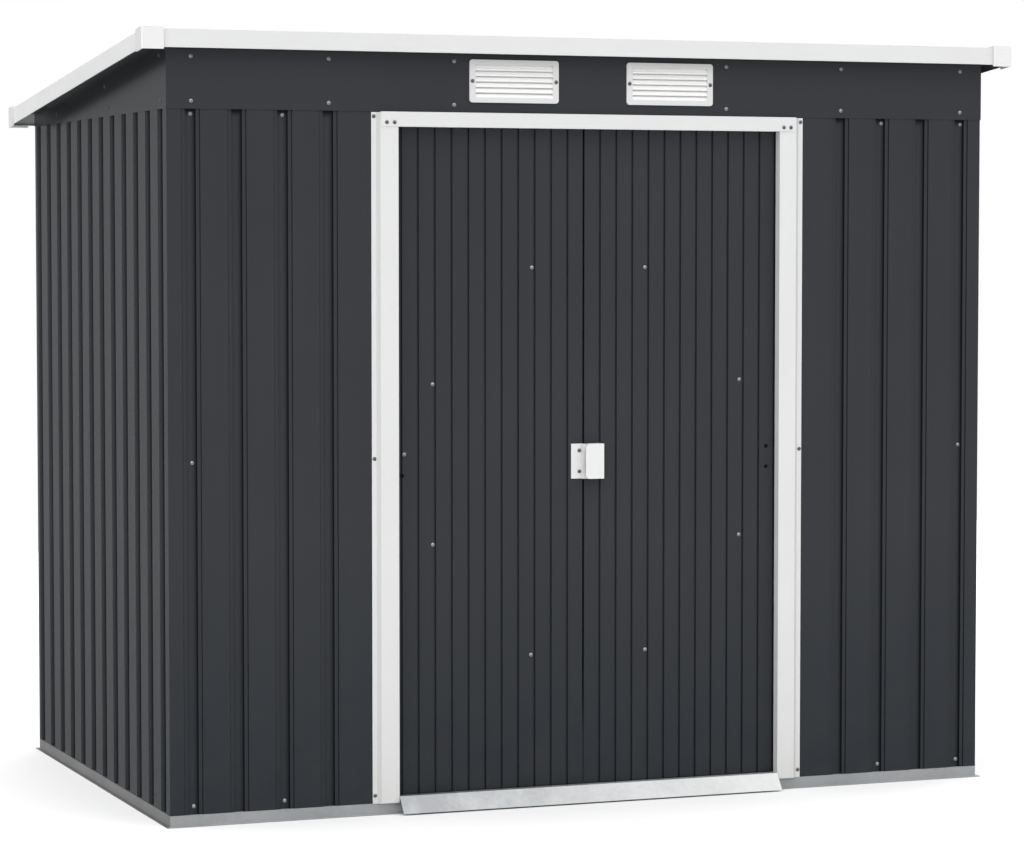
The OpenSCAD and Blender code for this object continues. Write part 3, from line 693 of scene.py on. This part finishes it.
def handle_row(x, y):
    """A place at the height of each screw of the handles."""
    return [((x, y, z), OUT_FRONT) for z in HANDLE_ROWS_Z]


bright_zinc = screw_plate("bright_zinc", BRIGHT_PLATE)
# Painted shade: screws on the white trims, the side walls and the handles take a darker copy of the zinc
shaded_zinc = screw_plate("shaded_zinc", SHADED_PLATE)
hole_black = dark_hole()

make_piece("front_screws", "shed", bright_zinc, add_screw, front_screws())
make_piece("surround_screws", "shed", shaded_zinc, add_screw, surround_screws())
make_piece("left_wall_screws", "shed", shaded_zinc, add_screw, side_screws(-1))
make_piece("right_wall_screws", "shed", shaded_zinc, add_screw, side_screws(1))
make_piece("back_wall_screws", "shed", bright_zinc, add_screw, back_screws())
make_piece("roof_screws", "shed", bright_zinc, add_screw, roof_screws())

plate_row = handle_row(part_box("left_door_panel")[1].x - PLATE_INSET, PLATE_Y)
foot_row = handle_row(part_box("right_handle")[1].x - FOOT_INSET, PLATE_Y)
left_places = door_screws(-1) + handle_row(DOOR_EDGE_SCREW_X, DOOR_Y)[:1]
left_holes = handle_row(LEFT_HOLE_X, DOOR_Y)[1:]
right_holes = handle_row(RIGHT_HOLE_X, DOOR_Y)
make_piece("left_door_screws", "left_door", bright_zinc, add_screw, left_places)
make_piece("right_door_screws", "right_door", bright_zinc, add_screw, door_screws(1))
make_piece("left_handle_screws", "left_door", shaded_zinc, add_screw, plate_row)
make_piece("right_handle_screws", "right_door", shaded_zinc, add_screw, foot_row)
make_piece("left_door_holes", "left_door", hole_black, add_hole, left_holes)
make_piece("right_door_holes", "right_door", hole_black, add_hole, right_holes)


# Stage, light and camera

# The paper that the shed stands on, and the dome behind it (metres)
FLOOR_HALF = 6.0
FLOOR_DROP = 0.0006
DOME_R = 25.0


def make_floor():
    s = Shader("floor_paper")
    soft = s.noise(0.6, 2.0)
    s.feed("Base Color", s.ramp(soft, PAPER))
    s.feed("Roughness", s.span(soft, 0.3, 0.7, 0.85, 0.95))
    s.set(Specular_IOR_Level=0.0)
    bm = bmesh.new()
    corners = [(FLOOR_HALF * x, FLOOR_HALF * y, 0.0) for x, y in ((-1, -1), (1, -1), (1, 1), (-1, 1))]
    bm.faces.new([bm.verts.new(corner) for corner in corners])
    floor = show(bm, "floor", s.material)
    floor.location.z = -FLOOR_DROP
    floor.visible_glossy = False


def make_backdrop():
    """A plain white dome round the studio. It throws no light and no shadow, and shows in no reflection."""
    s = Shader("backdrop_paper")
    s.set(Base_Color=PURE_BLACK, Specular_IOR_Level=0.0)
    s.set(Emission_Color=PURE_WHITE, Emission_Strength=1.0)
    s.material.cycles.emission_sampling = "NONE"
    bm = bmesh.new()
    bmesh.ops.create_uvsphere(bm, u_segments=48, v_segments=24, radius=DOME_R)
    dome = show(bm, "backdrop", s.material)
    for ray in ("diffuse", "glossy", "transmission", "volume_scatter", "shadow"):
        setattr(dome, "visible_" + ray, False)


# Brightness of the studio: before the shed, to its left, behind it to the right and the left, and overhead
LIGHT_FRONT = 0.55
LIGHT_LEFT = 1.25
LIGHT_BACKDROP = 1.20
LIGHT_SHADE = 0.30
LIGHT_OVERHEAD = 2.60


class Studio:
    """Soft light all round, its brightness worked out from the direction."""

    def __init__(self):
        self.world = bpy.data.worlds.new("studio")
        self.world.use_nodes = True
        self.tree = self.world.node_tree
        coords = self.tree.nodes.new("ShaderNodeTexCoord")
        split = self.tree.nodes.new("ShaderNodeSeparateXYZ")
        self.tree.links.new(coords.outputs["Generated"], split.inputs["Vector"])
        self.axes = split.outputs

    def blend(self, axis, start, end, low, high):
        """A level that eases from low to high while the direction's axis goes from start to end."""
        ease = self.tree.nodes.new("ShaderNodeMapRange")
        ease.interpolation_type = "SMOOTHSTEP"
        ease.inputs["From Min"].default_value = start
        ease.inputs["From Max"].default_value = end
        self.tree.links.new(self.axes[axis], ease.inputs["Value"])
        mix = self.tree.nodes.new("ShaderNodeMix")
        self.tree.links.new(ease.outputs["Result"], mix.inputs["Factor"])
        for socket, level in zip((mix.inputs[2], mix.inputs[3]), (low, high)):
            if isinstance(level, float):
                socket.default_value = level
            else:
                self.tree.links.new(level, socket)
        return mix.outputs[0]


def make_light():
    studio = Studio()
    behind = studio.blend("X", -0.04, 0.16, LIGHT_SHADE, LIGHT_BACKDROP)
    before = studio.blend("X", -0.85, -0.35, LIGHT_LEFT, LIGHT_FRONT)
    around = studio.blend("Y", 0.05, 0.45, before, behind)
    level = studio.blend("Z", 0.20, 0.65, around, LIGHT_OVERHEAD)
    background = studio.tree.nodes["Background"]
    studio.tree.links.new(level, background.inputs["Strength"])
    background.inputs["Color"].default_value = PURE_WHITE
    bpy.context.scene.world = studio.world


# The camera that was fitted to the photograph's corners
CAMERA_PLACE = Vector((-2.946, -7.7455, 1.2851))
CAMERA_YAW = math.radians(21.088)
CAMERA_PITCH = math.radians(-3.139)
CAMERA_LENS_MM = 118.65
SENSOR_MM = 36.0


def make_camera():
    data = bpy.data.cameras.new("camera")
    data.sensor_fit = "HORIZONTAL"
    data.sensor_width = SENSOR_MM
    data.lens = CAMERA_LENS_MM
    camera = bpy.data.objects.new("camera", data)
    camera.location = CAMERA_PLACE
    camera.rotation_euler = (math.pi / 2 + CAMERA_PITCH, 0.0, -CAMERA_YAW)
    bpy.context.scene.collection.objects.link(camera)
    bpy.context.scene.camera = camera


make_floor()
make_backdrop()
make_light()
make_camera()
bpy.context.scene.view_settings.view_transform = "Standard"
